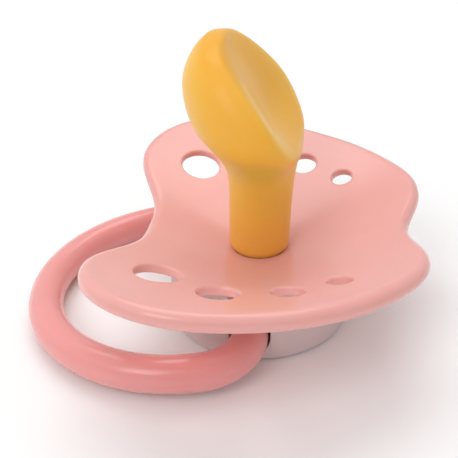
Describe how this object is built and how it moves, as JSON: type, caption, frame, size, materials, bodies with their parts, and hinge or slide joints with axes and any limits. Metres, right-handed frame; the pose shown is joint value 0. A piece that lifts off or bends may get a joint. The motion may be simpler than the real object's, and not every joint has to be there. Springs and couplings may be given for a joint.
{
  "type": "pacifier",
  "caption": "Baby's pacifier with a dished, notched shield with vents, a hollow orthodontic teat, a round knob and a D-shaped ring that swings in the knob.",
  "frame": {"origin": "middle of the knob's flat back face, on the teat's axis", "axes": "+Z along the teat, out of the shield's dished face; -X towards the nose notch and the ring's resting side, +X towards the chin notch; Y across the shield, which is the same on both sides"},
  "size_m": [0.0497, 0.0514, 0.0361],
  "materials": {
    "shield_plastic": "satin pale pink",
    "latex": "translucent amber",
    "plug_plastic": "matt white",
    "knob_plastic": "satin off-white",
    "ring_plastic": "gloss pink"
  },
  "bodies": {
    "pacifier_body": {"shield": "shield_plastic", "teat": "latex", "plug": "plug_plastic", "knob_cover": "knob_plastic"},
    "ring_handle": {"ring": "ring_plastic"}
  },
  "joints": [
    {"name": "ring_swing", "type": "hinge", "parent": "pacifier_body", "child": "ring_handle", "pos_m": [0, 0, 0.00335], "axis": [0, 1, 0], "range_deg": [-198, 24]}
  ]
}
